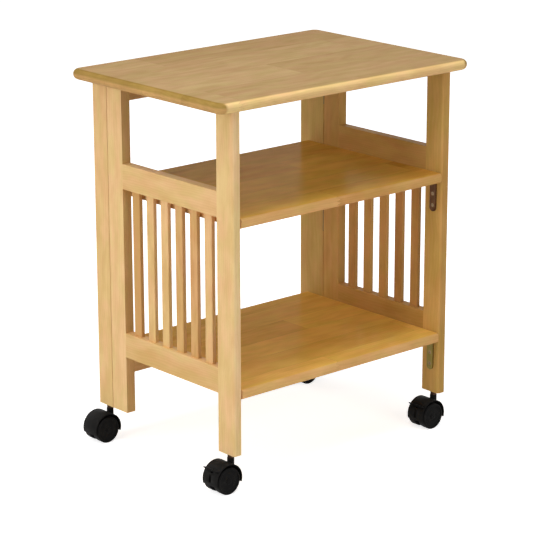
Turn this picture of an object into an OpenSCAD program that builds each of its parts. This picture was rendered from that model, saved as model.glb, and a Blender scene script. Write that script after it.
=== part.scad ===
// Rolling printer cart: a slatted wooden stand on four twin-wheel casters.
// The two slatted sides are hinged to a back frame and carry the front of the
// shelves. The top and both shelves turn up about their back edges, so that
// the sides can swing in and the cart stores flat.
// Frame: origin on the floor under the middle of the top, +X to the right of
// someone facing the front, +Y to the back, +Z up. Units are millimetres.

/* [Top board] */
// Width of the top, left to right
top_w = 602; // [560:1:660]
// Depth of the top, front to back
top_d = 425; // [414:1:460]
// Thickness of the top, whose edges are fully rounded
top_t = 20; // [16:1:26]
// Radius of the top's corners in plan
top_corner_r = 18; // [14:1:40]
// How far the top reaches in front of the legs
top_front_overhang = 14; // [6:0.5:18]

/* [Frame] */
// Height from the floor to the top's upper face
cart_h = 710; // [650:1:780]
// Width over the two side frames
frame_w = 528; // [480:1:540]
// Depth over the legs, front to back
frame_d = 394; // [380:1:396]
// Thickness of the stiles, posts and rails
board_t = 19; // [18:0.5:24]
// Width of a side frame's upright stiles
stile_w = 43; // [38:1:50]
// Width of the left back post, which houses the folded shelves
left_post_w = 43; // [40:1:48]
// Width of the right back post, wider by one folded side frame
right_post_w = 69; // [64:1:76]
// Gap between a back post and the side frame hinged to it
seam = 1; // [0.8:0.1:1.5]
// Radius of the legs' rounded outer edges
edge_r = 5; // [1:0.25:6]
// Radius of the slighter easing along the seams and round the side openings
fine_edge_r = 1; // [0.5:0.25:1.5]

/* [Rails] */
// Height of the side frames' cross rails
side_rail_h = 47; // [40:1:52]
// Underside of the middle side rails above the floor
middle_rail_z = 497.5; // [485:0.5:500]
// Underside of the bottom side rails above the floor
bottom_rail_z = 177; // [172:0.5:190]
// Height of the two rails between the back posts
back_rail_h = 50; // [44:1:56]
// Radius of the back rails' eased long edges
back_rail_edge_r = 2.5; // [1:0.25:3]
// Underside of the lower back rail above the floor
back_bottom_rail_z = 115; // [112:0.5:118]
// Diameter of the dowels in the frame's joints
dowel_d = 8; // [6:0.5:9]
// How far a dowel goes into a rail's end or a stile
dowel_depth = 20; // [16:1:24]
// How far a dowel goes into the face of a back post
dowel_face_depth = 12; // [8:1:13]
// From a rail's long edge to the middle of its dowel
dowel_inset = 13; // [10:0.5:15]

/* [Slats] */
// Number of slats in the left side
left_slat_count = 6; // [4:1:7]
// Number of slats in the right side
right_slat_count = 5; // [3:1:6]
// Width of a slat
slat_w = 20; // [16:1:24]
// Thickness of a slat
slat_t = 8; // [6:0.5:10]
// How far a slat's end is let into its rail
slat_tenon = 8; // [5:0.5:11]

/* [Shelves] */
// Depth of the shelves, front to back
shelf_d = 368; // [355:1:370]
// Thickness of the shelves
shelf_t = 19; // [18:0.5:22]
// Radius of a shelf's eased front edges
shelf_edge_r = 6; // [2:0.5:8]
// Underside of the middle shelf above the floor
middle_shelf_z = 481; // [470:0.5:486]
// Underside of the bottom shelf above the floor
bottom_shelf_z = 170; // [168:0.5:176]
// Gap between a shelf's end and the side beside it
shelf_end_gap = 1; // [0.8:0.1:1.5]
// Diameter of the pins that the shelves turn on
pivot_d = 6; // [5:0.5:8]
// How far a pivot pin goes into its post
pivot_post_depth = 15; // [10:0.5:16]
// How far a pivot pin goes into the shelf's end
pivot_shelf_depth = 22; // [16:1:30]
// Running clearance round pins that turn in a bore
running_gap = 0.06; // [0.03:0.01:0.1]

/* [Shelf braces] */
// Width of the steel strip
brace_w = 15.5; // [12:0.5:18]
// Thickness of the steel strip
brace_t = 3; // [2:0.25:4]
// Length of the upright leg, on the stile
brace_upright = 57; // [50:1:70]
// Length of the level leg, under the shelf
brace_level = 50; // [40:1:60]
// Distance of the strip's middle from the stile's front face
brace_y = 21; // [14:0.5:28]
// Diameter of the screws' shanks
brace_screw_d = 4; // [3:0.25:4.5]
// Length of the screws
brace_screw_len = 16; // [12:0.5:17]

/* [Hinges] */
// Length of a butt hinge
hinge_len = 50; // [40:1:60]
// Thickness of a hinge leaf, let in flush
leaf_t = 1.5; // [1:0.1:2]
// Width of a leaf beside its knuckle
leaf_w = 10.5; // [8:0.25:11]
// Diameter of the knuckle
knuckle_d = 6; // [5:0.25:6.5]
// Diameter of the hinge pin
hinge_pin_d = 3; // [2:0.25:3.25]
// Heights of the side hinges' middles above the legs' feet
side_hinge_z = [84, 280, 536];
// Distance of the outer top hinges from the middle of the cart
top_hinge_x = 185; // [120:1:205]
// Diameter of the hinge screws' shanks
hinge_screw_d = 3; // [2:0.25:3.5]
// Length of the hinge screws
hinge_screw_len = 14; // [10:0.5:16]

/* [Casters] */
// Height of a caster, from the floor to the leg's foot
caster_h = 68; // [64:1:74]
// Diameter of a wheel
wheel_d = 50; // [44:1:51]
// Width of one of the two wheels
wheel_w = 16; // [12:0.5:18]
// How far the axle trails behind the stem
trail = 21; // [17:0.5:22]
// Thickness of the hood over the wheels
hood_wall = 1.4; // [1.2:0.1:2]
// Least gap between a wheel's tread and the hood
hood_gap = 0.6; // [0.5:0.1:1.2]
// How far the hood's round lies ahead of the axle, towards the stem
hood_ahead = 1.6; // [0:0.1:3]
// How far the hood's round lies above the axle
hood_above = 1.8; // [0:0.1:3]
// Thickness of the web between the two wheels
web_t = 10; // [8:0.5:12]
// Gap between a wheel and the web
web_gap = 0.5; // [0.3:0.1:0.8]
// How far a wheel stands out of the hood sideways
wheel_proud = 1.5; // [0:0.25:3]
// Height of the hood's lower edge above the floor
hood_edge_z = 18; // [12:0.5:20]
// Diameter of the axle
axle_d = 6; // [5:0.25:8]
// Diameter of the stem
stem_d = 8; // [6:0.25:8.5]
// Length of the stem inside the leg's socket
stem_len = 36; // [28:1:40]
// Wall of the collar round the stem, between the boss and the leg
collar_wall = 1.7; // [1:0.1:2.2]
// Wall of the boss that holds the stem in the hood
boss_wall = 2.5; // [2:0.1:4]
// Gap between the leg's foot and the boss
boss_drop = 8; // [6:0.5:10]
// How deep the stem goes into the boss
stem_seat = 14; // [10:0.5:18]
// Diameter of the socket sleeve in the leg
socket_d = 11; // [10.5:0.25:12]
// Thickness of the sleeve's flange under the leg
flange_t = 1.5; // [1:0.1:2.5]
// Thickness of the brake lever
lever_t = 5; // [4:0.25:6]
// Width of the brake lever's foot tab
tab_w = 36; // [16:1:38]
// Length of the foot tab, from its bend to its tip
tab_len = 6; // [4:0.5:9]
// Thickness of the foot tab
tab_t = 2.5; // [2:0.1:3]

/* [Hidden] */
$fn = 48;

// Sides, and the four casters in the order of their places
LEFT = -1;
RIGHT = 1;
FRONT_LEFT = 0;
FRONT_RIGHT = 1;
BACK_LEFT = 2;
BACK_RIGHT = 3;

// How far cutting shapes reach past what they cut
past = 1;
// Room left at the bottom of a blind hole
end_room = 1;
// Least wood in front of a shelf's pivot pin
pivot_wall = 1.5;
// Radius of the slats' eased long edges
slat_edge_r = 1;

// Main planes of the frame
foot_z = caster_h;
under_top_z = cart_h - top_t;
front_y = top_front_overhang - top_d / 2;
back_y = front_y + frame_d;
inner_x = frame_w / 2 - board_t;
side_mid_x = frame_w / 2 - board_t / 2;
rail_mid_y = back_y - board_t / 2;
back_top_rail_z = under_top_z - back_rail_h;

// Shelves
shelf_w = 2 * (inner_x - shelf_end_gap);
pivot_y = front_y + shelf_d - shelf_t / 2;
washer_play = 0.1;
washer_t = shelf_end_gap - 2 * washer_play;
washer_rim = 4;
washer_d = pivot_d + 2 * washer_rim;
middle_pivot_z = middle_shelf_z + shelf_t / 2;
bottom_pivot_z = bottom_shelf_z + shelf_t / 2;

// Hinges: five knuckle segments, the odd ones on the fixed leaf
knuckle_count = 5;
knuckle_gap = 0.3;
knuckle_r = knuckle_d / 2;
knuckle_room = 0.4;
groove_r = knuckle_r + knuckle_room;
side_pin_x = inner_x + knuckle_r;
top_pin_y = back_y + knuckle_r;
screw_spread = hinge_len * 0.3;
hinge_head_d = hinge_screw_d * 2;

// Braces and their screws
brace_head_d = brace_screw_d * 1.8;
brace_screw_low = 12;
brace_screw_high = 34;

// Casters: the hood's round is large enough to clear the wheels all the way
wheel_r = wheel_d / 2;
axle_z = wheel_r;
hood_x = hood_ahead - trail;
hood_z = axle_z + hood_above;
hood_inner_r = wheel_r + hood_gap + norm([hood_ahead, hood_above]);
hood_r = hood_inner_r + hood_wall;
wheel_in_y = web_t / 2 + web_gap;
wheel_out_y = wheel_in_y + wheel_w;
hood_half_w = wheel_out_y - wheel_proud;
boss_d = stem_d + 2 * boss_wall;
boss_top_z = foot_z - boss_drop;
collar_d = stem_d + 2 * collar_wall;
flange_rim = 2;
flange_d = socket_d + 2 * flange_rim;
collar_gap = 0.3;
collar_top_z = foot_z - flange_t - collar_gap;
stem_foot_z = boss_top_z - stem_seat;
socket_room = 3;
socket_depth = stem_len + socket_room;
hub_r = 10;

// Stem's upper end: a groove for the socket's spring ring, and a lead-in
groove_depth = 1.2;
groove_h = 3;
land_h = 3;
lead_in = 1.5;
lead_h = 2;

// Wheels: the tread's edge, the dish in the outer face, the cap in its middle
tread_edge_r = 2.5;
dish_rim = 5;
dish_depth = 1.2;
cap_r = 6;
cap_t = 4;
axle_end_room = 0.5;
axle_half = wheel_out_y - cap_t - axle_end_room;

// Brake lever: it turns on trunnions in the web, behind and above the axle
lever_offset = 14;
lever_pivot = [-trail - lever_offset, axle_z + lever_offset];
lever_angle = 135;
lever_swing = 18;
lever_arm_h = 4;
lever_cam_r = 4.5;
trunnion_d = 3;
lever_room = 0.3;
tab_bend = 20;
tab_room = 1.4;
tab_start = hood_r - norm([lever_pivot[0] - hood_x, lever_pivot[1] - hood_z]) + tab_room;
slot_low_z = axle_z - 1;
slot_depth = 4;

// Colours of the CAD view
BEECH = [0.83, 0.66, 0.42];
BEECH_LIGHT = [0.87, 0.72, 0.48];
BEECH_WARM = [0.77, 0.56, 0.31];
DOWEL = [0.80, 0.68, 0.50];
STEEL = [0.62, 0.62, 0.63];
BRONZE = [0.33, 0.24, 0.15];
BRASS = [0.55, 0.50, 0.28];
NYLON = [0.07, 0.07, 0.07];
WASHER = [0.92, 0.92, 0.90];

// A back post is at least wide enough to hold the shelves' pivot pins
function post_w(side) = max(side == LEFT ? left_post_w : right_post_w,
    back_y - pivot_y + pivot_d / 2 + pivot_wall);
function post_front_y(side) = back_y - post_w(side);
function frame_back_y(side) = post_front_y(side) - seam;
function slat_count(side) = side == LEFT ? left_slat_count : right_slat_count;
function rail_y0() = front_y + stile_w;
function rail_len(side) = frame_back_y(side) - stile_w - rail_y0();
function slat_gap(side) = (rail_len(side) - slat_count(side) * slat_w) / (slat_count(side) + 1);
function slat_y(side, i) = rail_y0() + slat_gap(side) * (i + 1) + slat_w * (i + 0.5);
function dowel_heights(z, h) = [z + dowel_inset, z + h - dowel_inset];
function post_mid_y(side) = post_front_y(side) + post_w(side) / 2;
function caster_x(i) = (i == FRONT_LEFT || i == BACK_LEFT ? LEFT : RIGHT) * side_mid_x;
function caster_y(i) =
    i == FRONT_LEFT || i == FRONT_RIGHT ? front_y + stile_w / 2 : back_y - left_post_w / 2;

// Flat rectangle with rounded corners, centred
module eased_rect(size, r) {
    square([size[0] - 2 * r, size[1]], center = true);
    square([size[0], size[1] - 2 * r], center = true);
    for (sx = [-1, 1], sy = [-1, 1])
        translate([sx * (size[0] / 2 - r), sy * (size[1] / 2 - r)]) circle(r);
}

// Cylinder along X, Y or Z from a point, in the sense of dir
module rod_x(at, r, len, dir = 1) {
    translate(at) rotate([0, 90 * dir, 0]) cylinder(r = r, h = len);
}

module rod_y(at, r, len, dir = 1) {
    translate(at) rotate([-90 * dir, 0, 0]) cylinder(r = r, h = len);
}

module rod_z(at, r, len) {
    translate(at) cylinder(r = r, h = len);
}

// Front end of a board's outline, at y = 0, with eased corners
module eased_end(r) {
    translate([-board_t / 2 + r, 0]) square([board_t - 2 * r, 2 * r]);
    for (s = [-1, 1]) translate([s * (board_t / 2 - r), r]) circle(r);
}

// Upright board from foot to top. Its front and back corners are eased by the
// radii given, and an end with no radius stays square.
module upright(x, y0, y1, front_r = 0, back_r = 0) {
    translate([x, 0, foot_z]) linear_extrude(under_top_z - foot_z) {
        translate([-board_t / 2, y0 + front_r]) square([board_t, y1 - y0 - front_r - back_r]);
        if (front_r > 0) translate([0, y0]) eased_end(front_r);
        if (back_r > 0) translate([0, y1]) mirror([0, 1, 0]) eased_end(back_r);
    }
}

// Countersunk screw along +Z, its head's face at the origin
module screw(head_d, shank_d, len) {
    head_h = (head_d - shank_d) / 2;
    slot = [head_d * 0.55, head_d * 0.11, head_h * 0.7];
    difference() {
        union() {
            translate([0, 0, -head_h]) cylinder(r1 = shank_d / 2, r2 = head_d / 2, h = head_h);
            translate([0, 0, -len]) cylinder(d = shank_d, h = len - head_h);
        }
        for (a = [0, 90])
            rotate(a) translate([-slot[0] / 2, -slot[1] / 2, -slot[2]])
                cube([slot[0], slot[1], slot[2] + past]);
    }
}

// The hole that the screw fills, in a plate or in wood
module screw_hole(head_d, shank_d, len) {
    head_h = (head_d - shank_d) / 2;
    translate([0, 0, -head_h]) cylinder(r1 = shank_d / 2, r2 = head_d / 2, h = head_h);
    translate([0, 0, -len]) cylinder(d = shank_d, h = len);
}

// Butt hinge parts. The pin lies on Z, the leaves reach along +X, and the
// leaf's inner face lies at y = offset, on the side given by face.
function knuckle_segments(own) = [for (k = [0 : knuckle_count - 1]) if (k % 2 == own) k];

module leaf(own, face, offset) {
    seg = hinge_len / knuckle_count;
    plate_y = face > 0 ? offset : -offset - leaf_t;
    difference() {
        union() {
            translate([groove_r, plate_y, -hinge_len / 2]) cube([leaf_w, leaf_t, hinge_len]);
            for (k = knuckle_segments(own)) {
                z = -hinge_len / 2 + k * seg + knuckle_gap / 2;
                translate([0, 0, z]) cylinder(r = knuckle_r, h = seg - knuckle_gap);
                translate([0, plate_y, z]) cube([groove_r, leaf_t, seg - knuckle_gap]);
            }
        }
        translate([0, 0, -hinge_len / 2 - past])
            cylinder(d = hinge_pin_d + 2 * running_gap, h = hinge_len + 2 * past);
        leaf_screws_at(face, offset) screw_hole(hinge_head_d, hinge_screw_d, hinge_screw_len);
    }
}

// Puts screws in a leaf, with their heads' faces on its inner face
module leaf_screws_at(face, offset) {
    for (z = [-screw_spread, screw_spread])
        translate([groove_r + leaf_w / 2, face * offset, z]) rotate([90 * face, 0, 0]) children();
}

// The room that a leaf and the knuckle take in the wood
module leaf_mortise(face, offset, depth) {
    plate_y = face > 0 ? offset - past : -offset - depth;
    translate([0, plate_y, -hinge_len / 2]) cube([groove_r + leaf_w, depth + past, hinge_len]);
    translate([0, 0, -hinge_len / 2]) cylinder(r = groove_r, h = hinge_len);
    leaf_screws_at(face, offset) screw_hole(hinge_screw_d, hinge_screw_d, hinge_screw_len);
}

// Places of the side hinges: the pin upright in the seam's inner corner
module at_side_hinges(side) {
    for (h = side_hinge_z)
        translate([side * side_pin_x, post_front_y(side) - seam / 2, foot_z + h])
            mirror([side == LEFT ? 1 : 0, 0, 0]) children();
}

// Places of the top hinges: the pin along X behind the rail's upper edge,
// leaves towards the front, the fixed leaf below
module at_top_hinges() {
    for (x = [-top_hinge_x, 0, top_hinge_x])
        translate([x, top_pin_y, under_top_z]) rotate([0, 90, 0]) rotate([0, 0, -90]) children();
}

// The side frames
module stile_dowel_holes(side, y, dir) {
    for (z0 = [middle_rail_z, bottom_rail_z], z = dowel_heights(z0, side_rail_h))
        rod_y([side * side_mid_x, y, z], dowel_d / 2, dowel_depth + end_room, dir);
}

module socket_hole(i) {
    rod_z([caster_x(i), caster_y(i), foot_z - past], socket_d / 2, socket_depth + past);
}

module brace_screw_holes(side) {
    for (z0 = [middle_shelf_z, bottom_shelf_z])
        at_brace_screws(side, z0) screw_hole(brace_screw_d, brace_screw_d, brace_screw_len);
}

module front_stile(side) {
    color(BEECH_LIGHT) difference() {
        upright(side * side_mid_x, front_y, front_y + stile_w, front_r = edge_r);
        stile_dowel_holes(side, rail_y0(), -1);
        socket_hole(side == LEFT ? FRONT_LEFT : FRONT_RIGHT);
        brace_screw_holes(side);
    }
}

module back_stile(side) {
    y1 = frame_back_y(side);
    color(BEECH_LIGHT) difference() {
        upright(side * side_mid_x, y1 - stile_w, y1, back_r = fine_edge_r);
        stile_dowel_holes(side, y1 - stile_w, 1);
        at_side_hinges(side) leaf_mortise(-1, seam / 2, leaf_t);
    }
}

module side_rail(side, z0) {
    len = rail_len(side);
    slat_z = z0 == middle_rail_z ? z0 - past : z0 + side_rail_h - slat_tenon;
    color(BEECH) difference() {
        translate([side * side_mid_x, rail_y0() + len, z0 + side_rail_h / 2]) rotate([90, 0, 0])
            linear_extrude(len) eased_rect([board_t, side_rail_h], fine_edge_r);
        for (z = dowel_heights(z0, side_rail_h)) {
            rod_y([side * side_mid_x, rail_y0(), z], dowel_d / 2, dowel_depth + end_room);
            rod_y([side * side_mid_x, rail_y0() + len, z], dowel_d / 2, dowel_depth + end_room, -1);
        }
        for (i = [0 : slat_count(side) - 1])
            translate([side * side_mid_x, slat_y(side, i), slat_z])
                linear_extrude(slat_tenon + past) eased_rect([slat_t, slat_w], slat_edge_r);
    }
}

module slats(side) {
    z0 = bottom_rail_z + side_rail_h - slat_tenon;
    z1 = middle_rail_z + slat_tenon;
    color(BEECH_WARM) for (i = [0 : slat_count(side) - 1])
        translate([side * side_mid_x, slat_y(side, i), z0])
            linear_extrude(z1 - z0) eased_rect([slat_t, slat_w], slat_edge_r);
}

// The back frame
module back_post(side) {
    color(BEECH) difference() {
        upright(side * side_mid_x, post_front_y(side), back_y, fine_edge_r, edge_r);
        for (z0 = [back_top_rail_z, back_bottom_rail_z], z = dowel_heights(z0, back_rail_h))
            rod_x([side * inner_x, rail_mid_y, z], dowel_d / 2, dowel_face_depth + end_room, side);
        for (z = [middle_pivot_z, bottom_pivot_z])
            rod_x([side * inner_x, pivot_y, z], pivot_d / 2, pivot_post_depth, side);
        at_side_hinges(side) leaf_mortise(1, seam / 2, leaf_t);
        socket_hole(side == LEFT ? BACK_LEFT : BACK_RIGHT);
    }
}

module back_rail(z0) {
    translate([-inner_x, rail_mid_y, z0 + back_rail_h / 2]) rotate([90, 0, 90])
        linear_extrude(2 * inner_x) eased_rect([board_t, back_rail_h], back_rail_edge_r);
}

module back_rail_dowel_holes(z0) {
    for (side = [LEFT, RIGHT], z = dowel_heights(z0, back_rail_h))
        rod_x([side * inner_x, rail_mid_y, z], dowel_d / 2, dowel_depth + end_room, -side);
}

module back_top_rail() {
    color(BEECH) difference() {
        back_rail(back_top_rail_z);
        back_rail_dowel_holes(back_top_rail_z);
        at_top_hinges() leaf_mortise(1, 0, leaf_t);
    }
}

module back_bottom_rail() {
    color(BEECH) difference() {
        back_rail(back_bottom_rail_z);
        back_rail_dowel_holes(back_bottom_rail_z);
    }
}

module frame_dowels() {
    color(DOWEL) {
        for (side = [LEFT, RIGHT], y = [rail_y0(), rail_y0() + rail_len(side)])
            for (z0 = [middle_rail_z, bottom_rail_z], z = dowel_heights(z0, side_rail_h))
                rod_y([side * side_mid_x, y - dowel_depth, z], dowel_d / 2, 2 * dowel_depth);
        for (side = [LEFT, RIGHT], z0 = [back_top_rail_z, back_bottom_rail_z])
            for (z = dowel_heights(z0, back_rail_h))
                rod_x([side * (inner_x + dowel_face_depth), rail_mid_y, z], dowel_d / 2,
                    dowel_depth + dowel_face_depth, -side);
    }
}

// The side hinges
module side_post_leaves(side) {
    color(BRONZE) at_side_hinges(side) leaf(0, 1, seam / 2);
}

module side_frame_leaves(side) {
    color(BRONZE) at_side_hinges(side) leaf(1, -1, seam / 2);
}

module side_hinge_pins(side) {
    color(STEEL) at_side_hinges(side) rod_z([0, 0, -hinge_len / 2], hinge_pin_d / 2, hinge_len);
}

module side_hinge_screws() {
    color(BRONZE) for (side = [LEFT, RIGHT], face = [-1, 1])
        at_side_hinges(side) leaf_screws_at(face, seam / 2)
            screw(hinge_head_d, hinge_screw_d, hinge_screw_len);
}

// The shelves: the front edges are eased, and the board turns near its back
module shelf(z0) {
    r = shelf_edge_r;
    difference() {
        translate([-shelf_w / 2, 0, 0]) rotate([90, 0, 90]) linear_extrude(shelf_w) union() {
            translate([front_y + r, z0]) square([shelf_d - r, shelf_t]);
            translate([front_y, z0 + r]) square([2 * r, shelf_t - 2 * r]);
            for (z = [z0 + r, z0 + shelf_t - r]) translate([front_y + r, z]) circle(r);
        }
        for (side = [LEFT, RIGHT])
            rod_x([side * (shelf_w / 2 + past), pivot_y, z0 + shelf_t / 2],
                pivot_d / 2 + running_gap, pivot_shelf_depth + end_room + past, -side);
    }
}

module middle_shelf() {
    color(BEECH_WARM) shelf(middle_shelf_z);
}

module bottom_shelf() {
    color(BEECH_WARM) shelf(bottom_shelf_z);
}

module shelf_pivot_pins() {
    color(STEEL) for (side = [LEFT, RIGHT], z = [middle_pivot_z, bottom_pivot_z])
        rod_x([side * (inner_x + pivot_post_depth), pivot_y, z], pivot_d / 2,
            pivot_post_depth + shelf_end_gap + pivot_shelf_depth, -side);
}

module shelf_washers() {
    color(WASHER) for (side = [LEFT, RIGHT], z = [middle_pivot_z, bottom_pivot_z])
        difference() {
            rod_x([side * (inner_x - washer_play), pivot_y, z], washer_d / 2, washer_t, -side);
            rod_x([side * (inner_x + past), pivot_y, z], pivot_d / 2 + running_gap,
                washer_t + 2 * past, -side);
        }
}

// Shelf braces: bent steel strips with rounded ends, under the shelves' front
module brace(side, z0) {
    y = front_y + brace_y;
    r = brace_w / 2;
    x0 = side * inner_x;
    difference() {
        union() {
            translate([side == LEFT ? x0 : x0 - brace_t, y - r, z0 - brace_upright + r])
                cube([brace_t, brace_w, brace_upright - r]);
            rod_x([x0, y, z0 - brace_upright + r], r, brace_t, -side);
            translate([side == LEFT ? x0 : x0 - brace_level + r, y - r, z0 - brace_t])
                cube([brace_level - r, brace_w, brace_t]);
            rod_z([x0 - side * (brace_level - r), y, z0 - brace_t], r, brace_t);
        }
        at_brace_screws(side, z0) screw_hole(brace_head_d, brace_screw_d, brace_screw_len);
        for (d = [brace_screw_low, brace_screw_high])
            rod_z([x0 - side * (brace_level - d), y, z0 - brace_t - past], brace_screw_d / 2,
                brace_t + 2 * past);
    }
}

// Screw places on the braces' upright legs, heads towards the shelf bay
module at_brace_screws(side, z0) {
    for (d = [brace_screw_low, brace_screw_high])
        translate([side * (inner_x - brace_t), front_y + brace_y, z0 - brace_upright + d])
            rotate([0, -90 * side, 0]) children();
}

module middle_shelf_braces() {
    color(BRONZE) for (side = [LEFT, RIGHT]) brace(side, middle_shelf_z);
}

module bottom_shelf_braces() {
    color(BRASS) for (side = [LEFT, RIGHT]) brace(side, bottom_shelf_z);
}

module brace_screws() {
    color(BRASS) for (side = [LEFT, RIGHT], z0 = [middle_shelf_z, bottom_shelf_z])
        at_brace_screws(side, z0) screw(brace_head_d, brace_screw_d, brace_screw_len);
}

// The top: a slab with a full half-round edge that runs round the corners
module nose_profile(reach) {
    r = top_t / 2;
    translate([0, -r]) square([reach, top_t]);
    translate([reach, 0]) intersection() {
        circle(r, $fn = 72);
        translate([0, -r]) square([r, top_t]);
    }
}

module top_slab() {
    c = top_corner_r;
    reach = c - top_t / 2;
    hx = top_w / 2 - c;
    hy = top_d / 2 - c;
    translate([-hx, -hy, -top_t / 2]) cube([2 * hx, 2 * hy, top_t]);
    for (s = [0, 1]) {
        mirror([0, s, 0]) translate([-hx, hy, 0]) rotate([90, 0, 90])
            linear_extrude(2 * hx) nose_profile(reach);
        mirror([s, 0, 0]) translate([hx, hy, 0]) rotate([90, 0, 0])
            linear_extrude(2 * hy) nose_profile(reach);
        for (t = [0, 1])
            mirror([s, 0, 0]) mirror([0, t, 0]) translate([hx, hy, 0])
                rotate_extrude(angle = 90, $fn = 96) nose_profile(reach);
    }
}

module top_board() {
    color(BEECH_LIGHT) difference() {
        translate([0, 0, under_top_z + top_t / 2]) top_slab();
        at_top_hinges() leaf_mortise(-1, 0, leaf_t);
    }
}

// The top hinges: their leaves leave 0.1 mm between the closed faces
module top_hinge_rail_leaves() {
    color(STEEL) at_top_hinges() leaf(0, 1, 0);
}

module top_hinge_board_leaves() {
    color(STEEL) at_top_hinges() leaf(1, -1, 0);
}

module top_hinge_pins() {
    color(STEEL) at_top_hinges() rod_z([0, 0, -hinge_len / 2], hinge_pin_d / 2, hinge_len);
}

module top_hinge_rail_screws() {
    color(STEEL) at_top_hinges() leaf_screws_at(1, 0)
        screw(hinge_head_d, hinge_screw_d, hinge_screw_len);
}

module top_hinge_board_screws() {
    color(STEEL) at_top_hinges() leaf_screws_at(-1, 0)
        screw(hinge_head_d, hinge_screw_d, hinge_screw_len);
}

// Casters
module caster_sockets() {
    color(NYLON) for (i = [FRONT_LEFT : BACK_RIGHT]) translate([caster_x(i), caster_y(i), foot_z])
        difference() {
            union() {
                cylinder(d = socket_d, h = socket_depth);
                translate([0, 0, -flange_t]) cylinder(d = flange_d, h = flange_t);
            }
            translate([0, 0, -flange_t - past])
                cylinder(d = stem_d + 2 * running_gap, h = socket_depth + flange_t + past - end_room);
        }
}

// Puts a caster's piece under its leg: the stem's axis is Z and the floor z = 0
module at_caster(i) {
    translate([caster_x(i), caster_y(i), 0]) children();
}

module hood_outside() {
    difference() {
        union() {
            rod_y([hood_x, -hood_half_w, hood_z], hood_r, 2 * hood_half_w);
            rod_z([0, 0, axle_z], boss_d / 2, boss_top_z - axle_z);
        }
        translate([hood_x - 2 * hood_r, -2 * hood_r, hood_edge_z - 2 * hood_r])
            cube([4 * hood_r, 4 * hood_r, 2 * hood_r]);
        for (s = [-1, 1])
            rod_y([hood_x, s * web_t / 2, hood_z], hood_inner_r, hood_half_w, s);
    }
    rod_y([-trail, -web_t / 2, axle_z], hub_r, web_t);
}

// Cut for the brake lever: its outline swept from up to pressed, seen from the
// side, and the slot that runs on down the hood's back
module brake_slot() {
    slot_w = lever_t + 2 * lever_room;
    slot_h = lever_arm_h + 2 * lever_room;
    reach = 2 * hood_r;
    translate([lever_pivot[0], slot_w / 2, lever_pivot[1]]) rotate([90, 0, 0])
        linear_extrude(slot_w) {
            circle(lever_cam_r + lever_room);
            for (a = [lever_angle, lever_angle + lever_swing])
                rotate(a) translate([0, -slot_h / 2]) square([reach, slot_h]);
            polygon([[0, 0], for (a = [lever_angle, lever_angle + lever_swing])
                [reach * cos(a), reach * sin(a)]]);
            translate([hood_x - hood_r + slot_depth - reach, slot_low_z] - lever_pivot)
                square([reach, lever_pivot[1] - slot_low_z]);
        }
    rod_y([lever_pivot[0], -web_t, lever_pivot[1]], trunnion_d / 2 + running_gap, 2 * web_t);
}

module caster_hood(i, braked) {
    color(NYLON) at_caster(i) difference() {
        hood_outside();
        rod_z([0, 0, stem_foot_z], stem_d / 2, boss_top_z - stem_foot_z + past);
        rod_y([-trail, -web_t, axle_z], axle_d / 2, 2 * web_t);
        if (braked) brake_slot();
    }
}

module caster_stem(i) {
    r = stem_d / 2;
    lead_z = foot_z + stem_len - lead_h;
    land_z = lead_z - land_h;
    neck_z = land_z - groove_h;
    color(STEEL) at_caster(i) {
        rod_z([0, 0, stem_foot_z], r, neck_z - stem_foot_z);
        rod_z([0, 0, boss_top_z], collar_d / 2, collar_top_z - boss_top_z);
        rod_z([0, 0, neck_z], r - groove_depth, groove_h);
        rod_z([0, 0, land_z], r, land_h);
        translate([0, 0, lead_z]) cylinder(r1 = r, r2 = r - lead_in, h = lead_h);
    }
}

module caster_axle(i) {
    color(STEEL) at_caster(i) rod_y([-trail, -axle_half, axle_z], axle_d / 2, 2 * axle_half);
}

// One wheel: rounded tread edges, a dished outer face round a flat hub
module caster_wheel(i, s) {
    edge = tread_edge_r;
    dish_r = wheel_r - dish_rim;
    bore_end = wheel_w - cap_t;
    color(NYLON) at_caster(i) translate([-trail, s * wheel_in_y, axle_z]) rotate([-90 * s, 0, 0])
        rotate_extrude($fn = 96) difference() {
            union() {
                square([wheel_r - edge, wheel_w]);
                translate([0, edge]) square([wheel_r, wheel_w - 2 * edge]);
                for (z = [edge, wheel_w - edge]) translate([wheel_r - edge, z]) circle(edge);
            }
            translate([-past, -past]) square([past, wheel_w + 2 * past]);
            translate([cap_r, wheel_w - dish_depth]) square([dish_r - cap_r, dish_depth + past]);
            translate([0, -past]) square([axle_d / 2 + running_gap, bore_end + past]);
        }
}

module brake_lever(i) {
    arm_len = tab_start + tab_t / 2;
    color(NYLON) at_caster(i) translate([lever_pivot[0], 0, lever_pivot[1]])
        rotate([0, -lever_angle, 0]) {
            translate([0, lever_t / 2, 0]) rotate([90, 0, 0]) linear_extrude(lever_t) {
                circle(lever_cam_r);
                translate([0, -lever_arm_h / 2]) square([arm_len, lever_arm_h]);
            }
            rod_y([0, -web_t / 2, 0], trunnion_d / 2, web_t);
            translate([tab_start, 0, 0]) rotate([0, -tab_bend, 0])
                translate([0, -tab_w / 2, -tab_t / 2]) cube([tab_len, tab_w, tab_t]);
        }
}

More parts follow.
